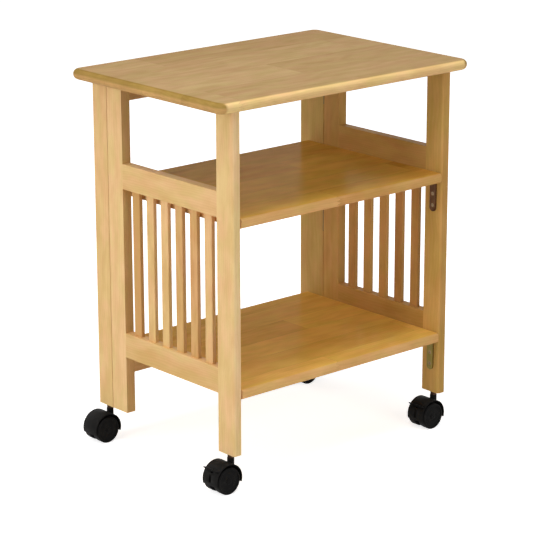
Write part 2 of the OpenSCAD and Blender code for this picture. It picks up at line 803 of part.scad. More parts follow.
front_stile(LEFT);  // left_front_stile
back_stile(LEFT);  // left_back_stile
side_rail(LEFT, middle_rail_z);  // left_middle_rail
side_rail(LEFT, bottom_rail_z);  // left_bottom_rail
slats(LEFT);  // left_slats
front_stile(RIGHT);  // right_front_stile
back_stile(RIGHT);  // right_back_stile
side_rail(RIGHT, middle_rail_z);  // right_middle_rail
side_rail(RIGHT, bottom_rail_z);  // right_bottom_rail
slats(RIGHT);  // right_slats
back_post(LEFT);  // left_back_post
back_post(RIGHT);  // right_back_post
back_top_rail();
back_bottom_rail();
frame_dowels();
side_post_leaves(LEFT);  // left_hinge_post_leaves
side_frame_leaves(LEFT);  // left_hinge_frame_leaves
side_hinge_pins(LEFT);  // left_hinge_pins
side_post_leaves(RIGHT);  // right_hinge_post_leaves
side_frame_leaves(RIGHT);  // right_hinge_frame_leaves
side_hinge_pins(RIGHT);  // right_hinge_pins
side_hinge_screws();
middle_shelf();
bottom_shelf();
shelf_pivot_pins();
shelf_washers();
middle_shelf_braces();
bottom_shelf_braces();
brace_screws();
top_board();
top_hinge_rail_leaves();
top_hinge_board_leaves();
top_hinge_pins();
top_hinge_rail_screws();
top_hinge_board_screws();
caster_sockets();
caster_hood(FRONT_LEFT, true);  // front_left_hood
caster_stem(FRONT_LEFT);  // front_left_stem
caster_axle(FRONT_LEFT);  // front_left_axle
caster_wheel(FRONT_LEFT, -1);  // front_left_front_wheel
caster_wheel(FRONT_LEFT, 1);  // front_left_rear_wheel
brake_lever(FRONT_LEFT);  // front_left_brake_lever
caster_hood(FRONT_RIGHT, true);  // front_right_hood
caster_stem(FRONT_RIGHT);  // front_right_stem
caster_axle(FRONT_RIGHT);  // front_right_axle
caster_wheel(FRONT_RIGHT, -1);  // front_right_front_wheel
caster_wheel(FRONT_RIGHT, 1);  // front_right_rear_wheel
brake_lever(FRONT_RIGHT);  // front_right_brake_lever
caster_hood(BACK_LEFT, false);  // back_left_hood
caster_stem(BACK_LEFT);  // back_left_stem
caster_axle(BACK_LEFT);  // back_left_axle
caster_wheel(BACK_LEFT, -1);  // back_left_front_wheel
caster_wheel(BACK_LEFT, 1);  // back_left_rear_wheel
caster_hood(BACK_RIGHT, false);  // back_right_hood
caster_stem(BACK_RIGHT);  // back_right_stem
caster_axle(BACK_RIGHT);  // back_right_axle
caster_wheel(BACK_RIGHT, -1);  // back_right_front_wheel
caster_wheel(BACK_RIGHT, 1);  // back_right_rear_wheel
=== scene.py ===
"""Looks of a folding wooden printer cart on four twin-wheel casters.

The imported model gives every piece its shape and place. This script gives each
piece its finish, models the moulded and pressed pieces more finely, and sets
up the studio: a pale floor, soft lamps and the camera.
"""

import logging
import math
from dataclasses import dataclass, field
from enum import Enum
from functools import cache
from typing import Callable, Iterable, Sequence, Union

import bpy
from mathutils import Matrix, Vector


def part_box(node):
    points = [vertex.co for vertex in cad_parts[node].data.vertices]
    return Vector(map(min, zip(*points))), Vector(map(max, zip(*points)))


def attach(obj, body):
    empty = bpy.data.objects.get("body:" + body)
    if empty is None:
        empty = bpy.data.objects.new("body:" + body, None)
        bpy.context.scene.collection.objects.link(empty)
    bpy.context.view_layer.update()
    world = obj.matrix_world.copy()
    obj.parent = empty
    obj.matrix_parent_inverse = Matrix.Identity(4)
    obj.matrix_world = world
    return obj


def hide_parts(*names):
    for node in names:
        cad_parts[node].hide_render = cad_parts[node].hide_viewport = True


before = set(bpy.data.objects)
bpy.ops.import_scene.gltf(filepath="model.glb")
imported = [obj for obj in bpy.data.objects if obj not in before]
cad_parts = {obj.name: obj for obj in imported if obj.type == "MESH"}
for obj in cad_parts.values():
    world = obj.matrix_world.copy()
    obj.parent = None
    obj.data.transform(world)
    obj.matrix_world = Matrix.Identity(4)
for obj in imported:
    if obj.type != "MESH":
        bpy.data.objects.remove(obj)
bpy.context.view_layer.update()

MM = 0.001

Colour = tuple[float, float, float]
Place = tuple[float, float, float]
Outline = list[tuple[float, float]]
Socket = bpy.types.NodeSocket
Input = Union[Socket, float, Sequence[float]]

# White, which as a tint leaves a colour as it is
WHITE = (1.0, 1.0, 1.0)

# Numbers of the wood's figure: lengths in metres, the rest shares or multipliers
GOLDEN_SHARE = 0.618
FINGER_SHIFT = 1.0
PIECE_SEED_STEP = 17.3
STAVE_SHIFT = 0.37
PATCH_SHIFT = 11.0
HEART_SPREAD = 0.08
HEART_DEPTH = 0.03
HEART_DEPTH_SPREAD = 0.10
END_TONE_START = 1.15
END_TONE_FALL = 0.45
GLUE_SHADE = 0.35

# How much rubbed spots, dust and flecks add to the roughness
RUBBED_ROUGHNESS = 0.25
DUST_ROUGHNESS = 0.5
FLECK_ROUGHNESS = 0.08

log = logging.getLogger("printer_cart")


class Grain(Enum):
    """Which axes run along, across and through a board's grain."""

    FLAT = ("X", "Y", "Z")
    BACK_RAIL = ("X", "Z", "Y")
    SIDE_RAIL = ("Y", "Z", "X")
    UPRIGHT = ("Z", "Y", "X")


class Side(Enum):
    """Left or right of someone facing the cart's front."""

    LEFT = "left"
    RIGHT = "right"


class Row(Enum):
    """Front or back pair of casters."""

    FRONT = "front"
    BACK = "back"


def select_only(obj: bpy.types.Object) -> None:
    """Makes one object the only selected and the active one.

    Args:
        obj: The object to select.
    """
    bpy.ops.object.select_all(action="DESELECT")
    obj.select_set(True)
    bpy.context.view_layer.objects.active = obj


class Graph:
    """The nodes of a material or of the world, built by short calls that return sockets."""

    def __init__(self, tree: bpy.types.NodeTree) -> None:
        """Starts with an empty tree.

        Args:
            tree: The node tree of a material or of the world.
        """
        self.tree = tree
        tree.nodes.clear()

    def node(self, kind: str, inputs: dict[str, Input], **settings: object) -> bpy.types.Node:
        """Adds a node and sets it up.

        Args:
            kind: Blender's name for the node's type.
            inputs: What to link or write into its inputs, by input name or number.
            settings: Values for the node's own properties.

        Returns:
            The new node.
        """
        made = self.tree.nodes.new(kind)
        for name, value in settings.items():
            setattr(made, name, value)
        for key, value in inputs.items():
            target = made.inputs[int(key) if key.isdigit() else key]
            if isinstance(value, Socket):
                self.tree.links.new(value, target)
            else:
                target.default_value = value
        return made

    def math(self, operation: str, *values: Input, clamp: bool = False) -> Socket:
        """Adds a Math node on the values given, in order."""
        inputs = {str(i): v for i, v in enumerate(values)}
        return self.node("ShaderNodeMath", inputs, operation=operation, use_clamp=clamp).outputs[0]

    def nudge(self, base: Input, value: Socket, amount: float) -> Socket:
        """Raises a base by an amount times how far a value lies past one half."""
        return self.math("MULTIPLY_ADD", self.math("SUBTRACT", value, 0.5), amount, base)

    def length(self, vector: Socket) -> Socket:
        """Adds the length of a vector."""
        return self.node("ShaderNodeVectorMath", {"0": vector}, operation="LENGTH").outputs["Value"]

    def split(self, vector: Socket) -> list[Socket]:
        """Splits a vector or a colour into its three numbers."""
        return list(self.node("ShaderNodeSeparateXYZ", {"0": vector}).outputs)

    def mix(self, factor: Input, low: Input, high: Input, blend: str = "MIX") -> Socket:
        """Adds a colour mix.

        Args:
            factor: Share of the high colour, from 0 to 1.
            low: The colour at 0.
            high: The colour at 1.
            blend: Blender's name for the way of mixing.

        Returns:
            The mixed colour.
        """
        inputs: dict[str, Input] = {"0": factor}
        for key, colour in (("6", low), ("7", high)):
            inputs[key] = colour if isinstance(colour, Socket) else (*colour, 1.0)
        made = self.node("ShaderNodeMix", inputs, data_type="RGBA", blend_type=blend)
        return made.outputs[2]

    def blend(self, factor: Input, low: Input, high: Input) -> Socket:
        """Adds a mix of two numbers by a factor."""
        return self.node("ShaderNodeMix", {"0": factor, "2": low, "3": high}).outputs[0]

    def steps(self, value: Input, low: float, high: float) -> Socket:
        """Adds a smooth step of a value from 0 at low to 1 at high."""
        made = self.node("ShaderNodeMapRange", {"0": value, "1": low, "2": high},
                         interpolation_type="SMOOTHSTEP")
        return made.outputs[0]

    def noise(self, vector: Socket, scale: float, detail: float = 2.0,
              roughness: float = 0.5) -> Socket:
        """Adds a noise texture and returns its grey value."""
        inputs = {"Vector": vector, "Scale": scale, "Detail": detail, "Roughness": roughness}
        return self.node("ShaderNodeTexNoise", inputs).outputs["Fac"]

    def vector(self, x: Input, y: Input, z: Input) -> Socket:
        """Adds a vector made of three numbers."""
        return self.node("ShaderNodeCombineXYZ", {"0": x, "1": y, "2": z}).outputs[0]

    def random(self, seed: Input) -> bpy.types.Node:
        """Adds white noise on one number: the same number gives the same value."""
        return self.node("ShaderNodeTexWhiteNoise", {"W": seed}, noise_dimensions="1D")

    def bump(self, height: Socket, strength: float, distance: float) -> Socket:
        """Adds a bump from a height, and returns the bent normal."""
        inputs = {"Height": height, "Strength": strength, "Distance": distance}
        return self.node("ShaderNodeBump", inputs).outputs[0]

    def surface(self, **inputs: Input) -> None:
        """Adds the main shader and the output.

        Args:
            inputs: What to link or write, with underscores for the spaces in input names.
        """
        named = {key.replace("_", " "): value for key, value in inputs.items()}
        shader = self.node("ShaderNodeBsdfPrincipled", named)
        self.node("ShaderNodeOutputMaterial", {"Surface": shader.outputs[0]})


def new_graph(name: str) -> tuple[bpy.types.Material, Graph]:
    """Makes a material with an empty node tree.

    Args:
        name: The material's name.

    Returns:
        The material and its graph.
    """
    material = bpy.data.materials.new(name)
    material.use_nodes = True
    return material, Graph(material.node_tree)


@dataclass(frozen=True)
class Layer:
    """One layer of the wood's figure: how often it repeats in a metre each way."""

    along: float
    across: float
    through: float

    def place(self, graph: Graph, spot: Sequence[Socket], shift_along: Input = 0.0,
              shift_across: Input = 0.0) -> Socket:
        """Stretches a place on the board for this layer's noise.

        Args:
            graph: The material's graph.
            spot: The place's three numbers along, across and through the grain.
            shift_along: How far the layer is moved along the grain, in repeats.
            shift_across: How far it is moved across the grain, in repeats.

        Returns:
            The stretched place.
        """
        along, across, through = spot
        return graph.vector(graph.math("MULTIPLY_ADD", along, self.along, shift_along),
                            graph.math("MULTIPLY_ADD", across, self.across, shift_across),
                            graph.math("MULTIPLY", through, self.through))


DRIFT = Layer(4.5, 12.0, 1.0)
FIBRES = Layer(7.0, 170.0, 170.0)
BANDS = Layer(1.6, 34.0, 34.0)
PATCHES = Layer(14.0, 38.0, 38.0)
FLECKS = Layer(260.0, 1500.0, 1500.0)

# Where a smooth step starts and ends, for noise from 0 to 1 and for a face's direction
CLOUD_STEP = (0.30, 0.70)
HUE_STEP = (0.36, 0.64)
FLECK_STEP = (0.60, 0.72)
BROAD_FACE_STEP = (0.80, 0.99)
NARROW_FACE_STEP = (0.70, 0.95)
END_GRAIN_STEP = (0.02, 0.30)
# End grain that looks up takes the painted shade of end, lower down the painted light of end_low
END_SHADE_STEP = (-0.05, 0.45)
RUBBED_STEP = (0.35, 0.75)
DUST_STEP = (0.45, 0.85)


@dataclass(frozen=True)
class Beech:
    """Varnished beech, in one board or in staves glued side by side.

    Every length is in metres and every colour is linear.

    Attributes:
        name: The material's name.
        grain: How the grain runs on the piece.
        light: The palest wood.
        dark: The darkest wood.
        end: End grain where it looks up; where it is darker than end_low, that is painted shade.
        end_low: End grain lower on a rounded edge; where it is paler than end, that is painted light
            from below.
        face_tint: What the broad faces are multiplied by: painted light and shade, and on the shelves
            partly the wood's own colour.
        side_tint: What the narrow faces are multiplied by: painted light where above one, painted
            shade where below one.
        seed: What sets this piece's own figure.
        stave: Width of a stave, or 0 for a single board.
        stave_start: Where the first glue line lies.
        stave_tone: How much the staves' tones differ.
        joint_every: Length between a stave's finger joints, or 0 for none.
        joint_start: Where the first finger joint lies.
        finger: Width of a finger.
        finger_reach: How long a finger is for its width.
        glue_line: Half the width of a joint's line.
        glue_depth: How strongly the joints' lines show.
        gloss: Roughness of the varnish.
        gloss_spread: How much the roughness follows the fibres.
        sheen_level: Strength of the varnish's reflection.
        middle_tone: Where plain wood lies between light and dark.
        cloud: How much broad clouds change the tone.
        lean: How much darker the wood gets across the board, by the metre.
        olive: What the wood's greener patches are multiplied by.
        blush: What its redder patches are multiplied by.
        ring: Distance between growth rings.
        ring_contrast: How strongly the rings show.
        streak_contrast: How strongly the fibres show.
        band_contrast: How strongly the broad bands show.
        fleck_depth: How strongly the rays' flecks show.
        end_depth: How strongly the end grain's colour covers the wood's.
        fibre_wander: How far the fibres drift sideways.
        ring_wander: How far the rings drift.
    """

    name: str
    grain: Grain
    light: Colour = (0.89, 0.606, 0.308)
    dark: Colour = (0.68, 0.404, 0.154)
    end: Colour = (0.50, 0.310, 0.070)
    end_low: Colour = (0.50, 0.310, 0.070)
    face_tint: Colour = WHITE
    side_tint: Colour = WHITE
    seed: float = 1.0
    stave: float = 0.0
    stave_start: float = 0.0
    stave_tone: float = 0.5
    joint_every: float = 0.0
    joint_start: float = 0.0
    finger: float = 6.5 * MM
    finger_reach: float = 3.0
    glue_line: float = 0.4 * MM
    glue_depth: float = 0.30
    gloss: float = 0.42
    gloss_spread: float = 0.16
    sheen_level: float = 0.06
    middle_tone: float = 0.45
    cloud: float = 0.38
    lean: float = 0.0
    olive: Colour = (0.97, 1.01, 0.90)
    blush: Colour = (1.025, 0.980, 0.985)
    ring: float = 4.0 * MM
    ring_contrast: float = 0.07
    streak_contrast: float = 0.24
    band_contrast: float = 0.6
    fleck_depth: float = 0.25
    end_depth: float = 0.85
    fibre_wander: float = 16 * MM
    ring_wander: float = 30 * MM

    def in_grain_order(self, graph: Graph, output: str) -> list[Socket]:
        """Adds a coordinate's three numbers, sorted along, across and through the grain.

        Args:
            graph: The material's graph.
            output: Object for the place on the piece, or Normal for where its face looks.

        Returns:
            The three numbers.
        """
        source = graph.node("ShaderNodeTexCoord", {}).outputs[output]
        numbers = graph.split(source)
        return [numbers["XYZ".index(axis)] for axis in self.grain.value]

    def staves(self, graph: Graph, spot: Sequence[Socket]) -> tuple[Input, Input]:
        """Works out which stave a point is in, and whether it lies on a joint.

        Args:
            graph: The material's graph.
            spot: The point's three numbers along, across and through the grain.

        Returns:
            A number that differs from stave to stave, and 1 on the joint lines.
        """
        along, across, through = spot
        if not self.stave:
            return self.seed, 0.0
        count = graph.math("DIVIDE", graph.math("SUBTRACT", across, self.stave_start), self.stave)
        lane = graph.math("FLOOR", count)
        line = graph.math("LESS_THAN", graph.math("PINGPONG", count, 0.5), self.glue_line / self.stave)
        lane_seed = graph.math("ADD", lane, self.seed)
        if not self.joint_every:
            return lane_seed, line
        stagger = graph.math("FRACT", graph.math("MULTIPLY", lane, GOLDEN_SHARE))
        shift = graph.math("MULTIPLY_ADD", stagger, self.joint_every, -self.joint_start)
        zigzag = graph.math("PINGPONG", graph.math("ADD", through, FINGER_SHIFT), self.finger / 2)
        run = graph.math("ADD", graph.math("ADD", along, shift),
                         graph.math("MULTIPLY", zigzag, self.finger_reach))
        piece = graph.math("DIVIDE", run, self.joint_every)
        cut = graph.math("LESS_THAN", graph.math("PINGPONG", piece, 0.5),
                         self.glue_line / self.joint_every)
        piece_seed = graph.math("MULTIPLY_ADD", graph.math("FLOOR", piece), PIECE_SEED_STEP, lane_seed)
        return piece_seed, graph.math("MAXIMUM", line, cut)

    def rings(self, graph: Graph, spot: Sequence[Socket], luck: Sequence[Socket],
              drift: Socket) -> Socket:
        """Adds growth rings about a heart that lies beside the board.

        Args:
            graph: The material's graph.
            spot: The place's three numbers along, across and through the grain.
            luck: Three random numbers of the stave's own.
            drift: A slow noise that bends the rings.

        Returns:
            A wave from -1 to 1.
        """
        _, across, through = spot
        heart_across = graph.math("MULTIPLY_ADD", luck[0], 2 * HEART_SPREAD, -HEART_SPREAD)
        heart_below = graph.math("MULTIPLY_ADD", luck[1], HEART_DEPTH_SPREAD, HEART_DEPTH)
        reach = graph.vector(graph.math("ADD", across, heart_across),
                             graph.math("ADD", through, heart_below), 0.0)
        wander = graph.math("MULTIPLY_ADD", drift, self.ring_wander, graph.length(reach))
        return graph.math("SINE", graph.math("MULTIPLY", wander, 2 * math.pi / self.ring))

    def tinted(self, graph: Graph, colour: Socket, side_on: Socket, face_on: Socket) -> Socket:
        """Tints the broad and the narrow faces, to paint light and shade on them; on the shelves the
        tints are partly the wood's own colour.

        Args:
            graph: The material's graph.
            colour: The wood's colour.
            side_on: How far the face looks across the grain.
            face_on: How far it looks through the board.

        Returns:
            The colour with its painted light and shade.
        """
        broad_face = graph.steps(graph.math("ABSOLUTE", face_on), *BROAD_FACE_STEP)
        narrow_face = graph.steps(graph.math("ABSOLUTE", side_on), *NARROW_FACE_STEP)
        tint_and_shading = graph.mix(broad_face, WHITE, self.face_tint)
        tint_and_shading = graph.mix(narrow_face, tint_and_shading, self.side_tint)
        return graph.mix(1.0, colour, tint_and_shading, "MULTIPLY")

    def ended(self, graph: Graph, colour: Socket, tone: Socket, end_on: Socket,
              face_on: Socket) -> Socket:
        """Puts end grain where a face looks along the grain, with painted shade on its upper part and
        painted light on its lower part where end and end_low differ.

        Args:
            graph: The material's graph.
            colour: The wood's colour.
            tone: The wood's tone, from 0 for light to 1 for dark.
            end_on: How far the face looks along the grain.
            face_on: How far it looks through the board.

        Returns:
            The colour with end grain.
        """
        # Painted shade on end grain that looks up, painted light lower down
        shaded_end_colour = graph.mix(graph.steps(face_on, *END_SHADE_STEP), self.end_low, self.end)
        end_tone = graph.math("MULTIPLY_ADD", tone, -END_TONE_FALL, END_TONE_START)
        shaded_end_colour = graph.mix(1.0, shaded_end_colour, graph.vector(end_tone, end_tone, end_tone), "MULTIPLY")
        end_grain = graph.steps(graph.math("ABSOLUTE", end_on), *END_GRAIN_STEP)
        return graph.mix(graph.math("MULTIPLY", end_grain, self.end_depth), colour, shaded_end_colour)

    def material(self) -> bpy.types.Material:
        """Builds the finish.

        Returns:
            The material.
        """
        made, graph = new_graph(self.name)
        spot = self.in_grain_order(graph, "Object")
        along, across, through = spot
        end_on, side_on, face_on = self.in_grain_order(graph, "Normal")
        stave, joint = self.staves(graph, spot)
        luck = graph.split(graph.random(stave).outputs["Color"])
        own = graph.math("MULTIPLY", stave, STAVE_SHIFT)

        # The fibres bend with a slow drift, and bands and patches follow them
        drift = graph.noise(DRIFT.place(graph, spot, shift_across=own), 1.0)
        bent = (along, graph.math("MULTIPLY_ADD", drift, self.fibre_wander, across), through)
        streak = graph.noise(FIBRES.place(graph, bent, shift_across=own), 1.0, detail=4.0,
                             roughness=0.6)
        broad = graph.noise(BANDS.place(graph, bent, shift_across=own), 1.0, detail=3.0)
        patch = PATCHES.place(graph, bent, graph.math("MULTIPLY", own, PATCH_SHIFT))
        clouds = graph.node("ShaderNodeTexNoise", {"Vector": patch, "Scale": 1.0, "Detail": 3.0})
        cloud, hue_cloud, _ = graph.split(clouds.outputs["Color"])

        # The tone goes from 0 for light wood to 1 for dark wood
        tone = graph.nudge(self.middle_tone, luck[2], self.stave_tone)
        tone = graph.nudge(tone, streak, self.streak_contrast)
        tone = graph.nudge(tone, broad, self.band_contrast)
        tone = graph.nudge(tone, graph.steps(cloud, *CLOUD_STEP), self.cloud)
        tone = graph.math("MULTIPLY_ADD", across, self.lean, tone)
        tone = graph.math("MULTIPLY_ADD", self.rings(graph, spot, luck, drift), self.ring_contrast,
                          tone, clamp=True)
        hue = graph.mix(graph.steps(hue_cloud, *HUE_STEP), self.olive, self.blush)
        colour = graph.mix(1.0, graph.mix(tone, self.light, self.dark), hue, "MULTIPLY")

        # The wood's rays show as fine dark flecks
        flecks = graph.noise(FLECKS.place(graph, spot), 1.0, detail=1.0)
        flecks = graph.steps(flecks, *FLECK_STEP)
        colour = graph.mix(graph.math("MULTIPLY", flecks, self.fleck_depth), colour, self.dark)
        # The tints paint light and shade on the faces that need it
        colour = self.tinted(graph, colour, side_on, face_on)
        colour = self.ended(graph, colour, tone, end_on, face_on)
        glue = tuple(GLUE_SHADE * share for share in self.dark)
        colour = graph.mix(graph.math("MULTIPLY", joint, self.glue_depth), colour, glue)

        # The varnish follows the fibres and sinks a little at the rays
        rough = graph.nudge(self.gloss, streak, self.gloss_spread)
        rough = graph.math("MULTIPLY_ADD", flecks, FLECK_ROUGHNESS, rough)
        normal = graph.bump(graph.math("SUBTRACT", streak, flecks), strength=0.25,
                            distance=0.06 * MM)
        graph.surface(Base_Color=colour, Roughness=rough, Specular_IOR_Level=self.sheen_level,
                      Normal=normal)
        return made


@dataclass(frozen=True)
class Metal:
    """Plated or bronzed steel with a mottled sheen and rubbed spots.

    Attributes:
        name: The material's name.
        colour: The plating's colour.
        worn: Its colour where it is rubbed.
        roughness: How dull it is.
        mottle: How strongly the rubbed spots show.
        brushed: How strongly the brush's lines show.
        spots: How often the rubbed spots repeat in a metre.
        grit: How often the steel's grit repeats in a metre.
        brush: How often the brush's lines repeat in a metre, along each axis.
    """

    name: str
    colour: Colour
    worn: Colour
    roughness: float = 0.38
    mottle: float = 0.5
    brushed: float = 0.0
    spots: float = 90.0
    grit: float = 2200.0
    brush: tuple[float, float, float] = (300.0, 5200.0, 5200.0)

    def material(self) -> bpy.types.Material:
        """Builds the finish.

        Returns:
            The material.
        """
        made, graph = new_graph(self.name)
        place = graph.node("ShaderNodeTexCoord", {}).outputs["Object"]
        clouds = graph.noise(place, self.spots, detail=4.0, roughness=0.6)
        grit = graph.noise(place, self.grit)
        lines = graph.node("ShaderNodeMapping", {"Vector": place, "Scale": self.brush})
        brush = graph.noise(lines.outputs[0], 1.0)
        colour = graph.mix(graph.math("MULTIPLY", graph.steps(clouds, *RUBBED_STEP), self.mottle),
                           self.colour, self.worn)
        rough = graph.nudge(self.roughness, clouds, RUBBED_ROUGHNESS)
        rough = graph.nudge(rough, brush, self.brushed)
        height = graph.math("MULTIPLY_ADD", brush, 2.0 * self.brushed, grit)
        graph.surface(Base_Color=colour, Metallic=1.0, Roughness=rough,
                      Normal=graph.bump(height, strength=0.15, distance=0.05 * MM))
        return made


@dataclass(frozen=True)
class Moulding:
    """Moulded nylon with a fine spark-eroded texture and a little dust.

    Attributes:
        name: The material's name.
        colour: The nylon's colour.
        dust: Its colour where dust has settled.
        roughness: How dull it is.
        texture: How strongly the mould's texture shows.
        dusty: How strongly the dust shows.
        shine: Strength of its reflection.
        sparks: How often the mould's texture repeats in a metre.
        drifts: How often the dust's patches repeat in a metre.
    """

    name: str
    colour: Colour
    dust: Colour
    roughness: float = 0.5
    texture: float = 0.3
    dusty: float = 0.25
    shine: float = 0.03
    sparks: float = 2600.0
    drifts: float = 60.0

    def material(self) -> bpy.types.Material:
        """Builds the finish.

        Returns:
            The material.
        """
        made, graph = new_graph(self.name)
        place = graph.node("ShaderNodeTexCoord", {}).outputs["Object"]
        grain = graph.noise(place, self.sparks)
        clouds = graph.noise(place, self.drifts, detail=4.0, roughness=0.65)
        settled = graph.math("MULTIPLY", graph.steps(clouds, *DUST_STEP), self.dusty)
        colour = graph.mix(settled, self.colour, self.dust)
        rough = graph.math("MULTIPLY_ADD", settled, DUST_ROUGHNESS, self.roughness)
        graph.surface(Base_Color=colour, Roughness=rough, Specular_IOR_Level=self.shine,
                      Normal=graph.bump(grain, self.texture, distance=0.06 * MM))
        return made


Finish = Union[Beech, Metal, Moulding]

# Distances within which a mesh's points are merged, and the angle that counts as flat
TURNED_WELD = 0.01 * MM
COPY_WELD = 0.002 * MM
FLAT_ANGLE = math.radians(0.5)

# Length of a stave from finger joint to finger joint
STAVE_LENGTH = 620 * MM

# The right side and the right back post are painted darker than the left ones: painted shade, as they
# face into the shaded inside of the cart
SHADED_RIGHT_LIGHT = (0.735, 0.445, 0.158)
SHADED_RIGHT_DARK = (0.530, 0.285, 0.079)
SHADED_RIGHT_SLAT_LIGHT = (0.68, 0.385, 0.130)
SHADED_RIGHT_SLAT_DARK = (0.45, 0.210, 0.065)
SHADED_POST_LIGHT = (0.670, 0.435, 0.154)
SHADED_POST_DARK = (0.480, 0.278, 0.077)

BRONZED = Metal(
    "bronzed_plate", (0.080, 0.037, 0.015), worn=(0.17, 0.080, 0.035), roughness=0.48)
BRASSED = Metal(
    "olive_brass_plate", (0.165, 0.130, 0.030), worn=(0.25, 0.185, 0.05), roughness=0.42)
SCREW_BRASS = Metal(
    "screw_brass_plate", (0.20, 0.135, 0.075), worn=(0.32, 0.23, 0.14), roughness=0.36)
HINGE_BRASS = Metal(
    "hinge_brass_plate", (0.17, 0.110, 0.045), worn=(0.26, 0.18, 0.08), roughness=0.50)
ZINC = Metal(
    "zinc_plate", (0.52, 0.52, 0.51), worn=(0.64, 0.64, 0.62), roughness=0.30, mottle=0.4,
    brushed=0.2)
DARK_STEM = Metal(
    "oiled_plate", (0.055, 0.030, 0.022), worn=(0.13, 0.09, 0.07), roughness=0.40, mottle=0.4,
    brushed=0.15)
HOOD_NYLON = Moulding(
    "hood_nylon", (0.0105, 0.0100, 0.0095), dust=(0.055, 0.052, 0.048), roughness=0.46)
TREAD_NYLON = Moulding(
    "wheel_nylon", (0.0075, 0.0072, 0.0070), dust=(0.050, 0.047, 0.043), roughness=0.42)
WASHER_NYLON = Moulding(
    "washer_nylon", (0.80, 0.79, 0.74), dust=(0.62, 0.60, 0.54), roughness=0.40)


@cache
def material_of(finish: Finish) -> bpy.types.Material:
    """Builds a finish's material the first time, and gives the same one after that."""
    return finish.material()


def paint(obj: bpy.types.Object, finish: Finish) -> None:
    """Gives a piece its finish, and reports it.

    Args:
        obj: The piece.
        finish: What to dress it in.
    """
    obj.data.materials.clear()
    obj.data.materials.append(material_of(finish))
    log.info("%s: %s", obj.name, finish.name)


def dress(nodes: Iterable[str], finish: Finish) -> None:
    """Gives CAD nodes one finish.

    Args:
        nodes: The nodes' names.
        finish: What to dress them in.
    """
    for name in nodes:
        paint(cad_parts[name], finish)


def lathe(name: str, outline: Outline, turns: int = 96) -> bpy.types.Object:
    """Spins an outline about the Y axis.

    Args:
        name: The new object's name.
        outline: Points of (radius, place along Y) in metres, from axis to axis.
        turns: How many steps the spin takes.

    Returns:
        The turned solid, at the origin.
    """
    bpy.ops.object.select_all(action="DESELECT")
    bpy.ops.mesh.primitive_plane_add(size=MM)
    obj = bpy.context.object
    obj.name = name
    bpy.ops.object.mode_set(mode="EDIT")
    bpy.ops.mesh.select_all(action="SELECT")
    bpy.ops.mesh.merge(type="CENTER")
    bpy.ops.transform.translate(value=(outline[0][0], outline[0][1], 0.0))
    for (r0, y0), (r1, y1) in zip(outline, outline[1:]):
        bpy.ops.mesh.extrude_region_move(
            TRANSFORM_OT_translate={"value": (r1 - r0, y1 - y0, 0.0)})
    bpy.ops.mesh.select_all(action="SELECT")
    bpy.ops.mesh.spin(steps=turns, angle=2 * math.pi, center=(0, 0, 0), axis=(0, 1, 0))
    bpy.ops.mesh.select_all(action="SELECT")
    bpy.ops.mesh.remove_doubles(threshold=TURNED_WELD)
    bpy.ops.mesh.normals_make_consistent(inside=False)
    bpy.ops.object.mode_set(mode="OBJECT")
    return obj


def smooth(obj: bpy.types.Object, angle: float = 32.0) -> None:
    """Shades an object smooth across edges flatter than an angle in degrees."""
    select_only(obj)
    bpy.ops.object.shade_smooth_by_angle(angle=math.radians(angle))


def placed_copy(obj: bpy.types.Object, name: str, matrix: Matrix) -> bpy.types.Object:
    """Copies a piece, with its own mesh moved into place.

    Args:
        obj: The piece to copy.
        name: The copy's name.
        matrix: Where the copy goes.

    Returns:
        The copy, its object at the origin.
    """
    twin = obj.copy()
    twin.data = obj.data.copy()
    twin.name = name
    twin.data.name = name
    twin.data.transform(matrix)
    bpy.context.scene.collection.objects.link(twin)
    return twin


def softened(node: str, name: str, width: float, segments: int = 2,
             angle: float = 40.0) -> bpy.types.Object:
    """Copies a CAD node, merges it and rounds its edges.

    Args:
        node: The CAD node to copy.
        name: The new piece's name.
        width: How wide the rounded edges are, in metres.
        segments: How many faces make up each rounded edge.
        angle: Edges sharper than this are rounded, in degrees.

    Returns:
        The softened piece.
    """
    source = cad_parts[node]
    obj = bpy.data.objects.new(name, source.data.copy())
    bpy.context.scene.collection.objects.link(obj)
    select_only(obj)
    bpy.ops.object.mode_set(mode="EDIT")
    bpy.ops.mesh.select_all(action="SELECT")
    bpy.ops.mesh.customdata_custom_splitnormals_clear()
    bpy.ops.mesh.remove_doubles(threshold=COPY_WELD)
    bpy.ops.mesh.dissolve_limited(angle_limit=FLAT_ANGLE)
    bpy.ops.object.mode_set(mode="OBJECT")
    bevel = obj.modifiers.new("rounded edges", "BEVEL")
    bevel.width = width
    bevel.segments = segments
    bevel.limit_method = "ANGLE"
    bevel.angle_limit = math.radians(angle)
    bevel.use_clamp_overlap = True
    bpy.ops.object.modifier_apply(modifier=bevel.name)
    smooth(obj)
    return obj


@dataclass
class TopBoard:
    """The round-edged top with its hinges at the back.

    Attributes:
        stave: Width of its staves.
    """

    stave: float = 107 * MM

    def build(self) -> None:
        """Dresses the board, its hinge leaves, their pins and screws."""
        # The top's broad face is tinted darker and greyer: painted shade. Its end grain is painted
        # dark where it looks up, as shade, and paler lower down, as light from below.
        dress(["top_board"], Beech(
            "top_varnished_beech", Grain.FLAT, light=(0.95, 0.666, 0.324), dark=(0.67, 0.400, 0.157),
            end=(0.25, 0.148, 0.022), end_low=(0.52, 0.290, 0.100), face_tint=(0.48, 0.460, 0.440),
            seed=4.0, stave=self.stave, stave_tone=0.42, joint_every=STAVE_LENGTH,
            joint_start=224 * MM, cloud=0.30, lean=1.25, sheen_level=0.010))
        dress(["top_hinge_rail_leaves", "top_hinge_board_leaves", "top_hinge_pins",
               "top_hinge_rail_screws", "top_hinge_board_screws"], ZINC)


